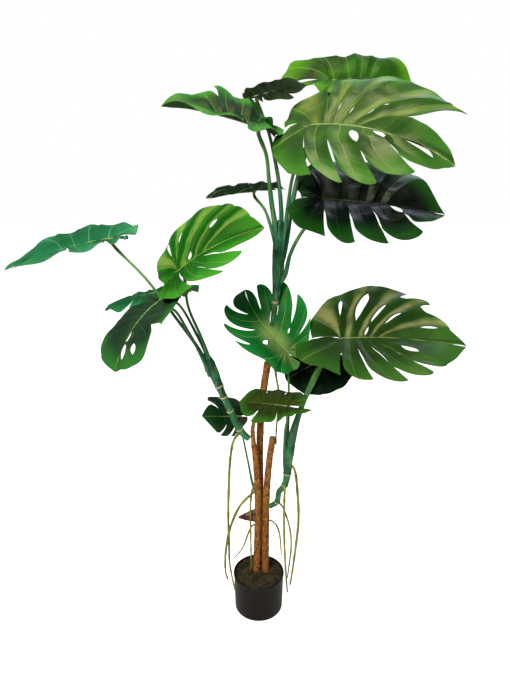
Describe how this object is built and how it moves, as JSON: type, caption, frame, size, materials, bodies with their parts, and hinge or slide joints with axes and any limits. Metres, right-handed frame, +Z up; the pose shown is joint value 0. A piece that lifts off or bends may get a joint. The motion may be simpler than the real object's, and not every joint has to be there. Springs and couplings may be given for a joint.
{
  "type": "potted monstera plant",
  "caption": "Tall potted monstera: woody canes in a plain black nursery pot bear green shoots with large split and holed leaves on long stalks; aerial roots hang beside the pot.",
  "frame": {"origin": "centre of the pot's flat foot, on the surface that the plant stands on", "axes": "+Z up, -Y the front as the picture shows it, +X to the picture's right"},
  "size_m": [1.303, 0.7502, 1.832],
  "materials": {
    "pot": "satin",
    "soil": "matte",
    "bark": "matte",
    "shoot": "satin",
    "leaf": "satin",
    "root": "matte",
    "husk": "matte"
  },
  "bodies": {
    "root": {"pot": "pot", "soil": "soil", "cane_front_left": "bark", "cane_front_right": "bark", "cane_rear": "bark", "stem_crown": "shoot", "shoot_left": "shoot", "shoot_right": "shoot", "leaf_crown_right": "leaf", "leaf_crown_rear": "leaf", "leaf_crown_left": "leaf", "leaf_crown_back": "leaf", "leaf_crown_lower": "leaf", "leaf_crown_small": "leaf", "leaf_left_upright": "leaf", "leaf_left_far": "leaf", "leaf_left_hanging": "leaf", "leaf_left_low": "leaf", "leaf_centre": "leaf", "leaf_right_broad": "leaf", "leaf_right_shaded": "leaf", "leaf_front_low": "leaf", "leaf_rear_low": "leaf", "root_left_long": "root", "root_left_arch": "root", "root_into_soil": "root", "root_left_short": "root", "root_right_inner": "root", "root_right_middle": "root", "root_right_outer": "root", "root_right_short": "root", "root_rear_drop": "root", "dry_sheath": "husk"}
  },
  "joints": []
}
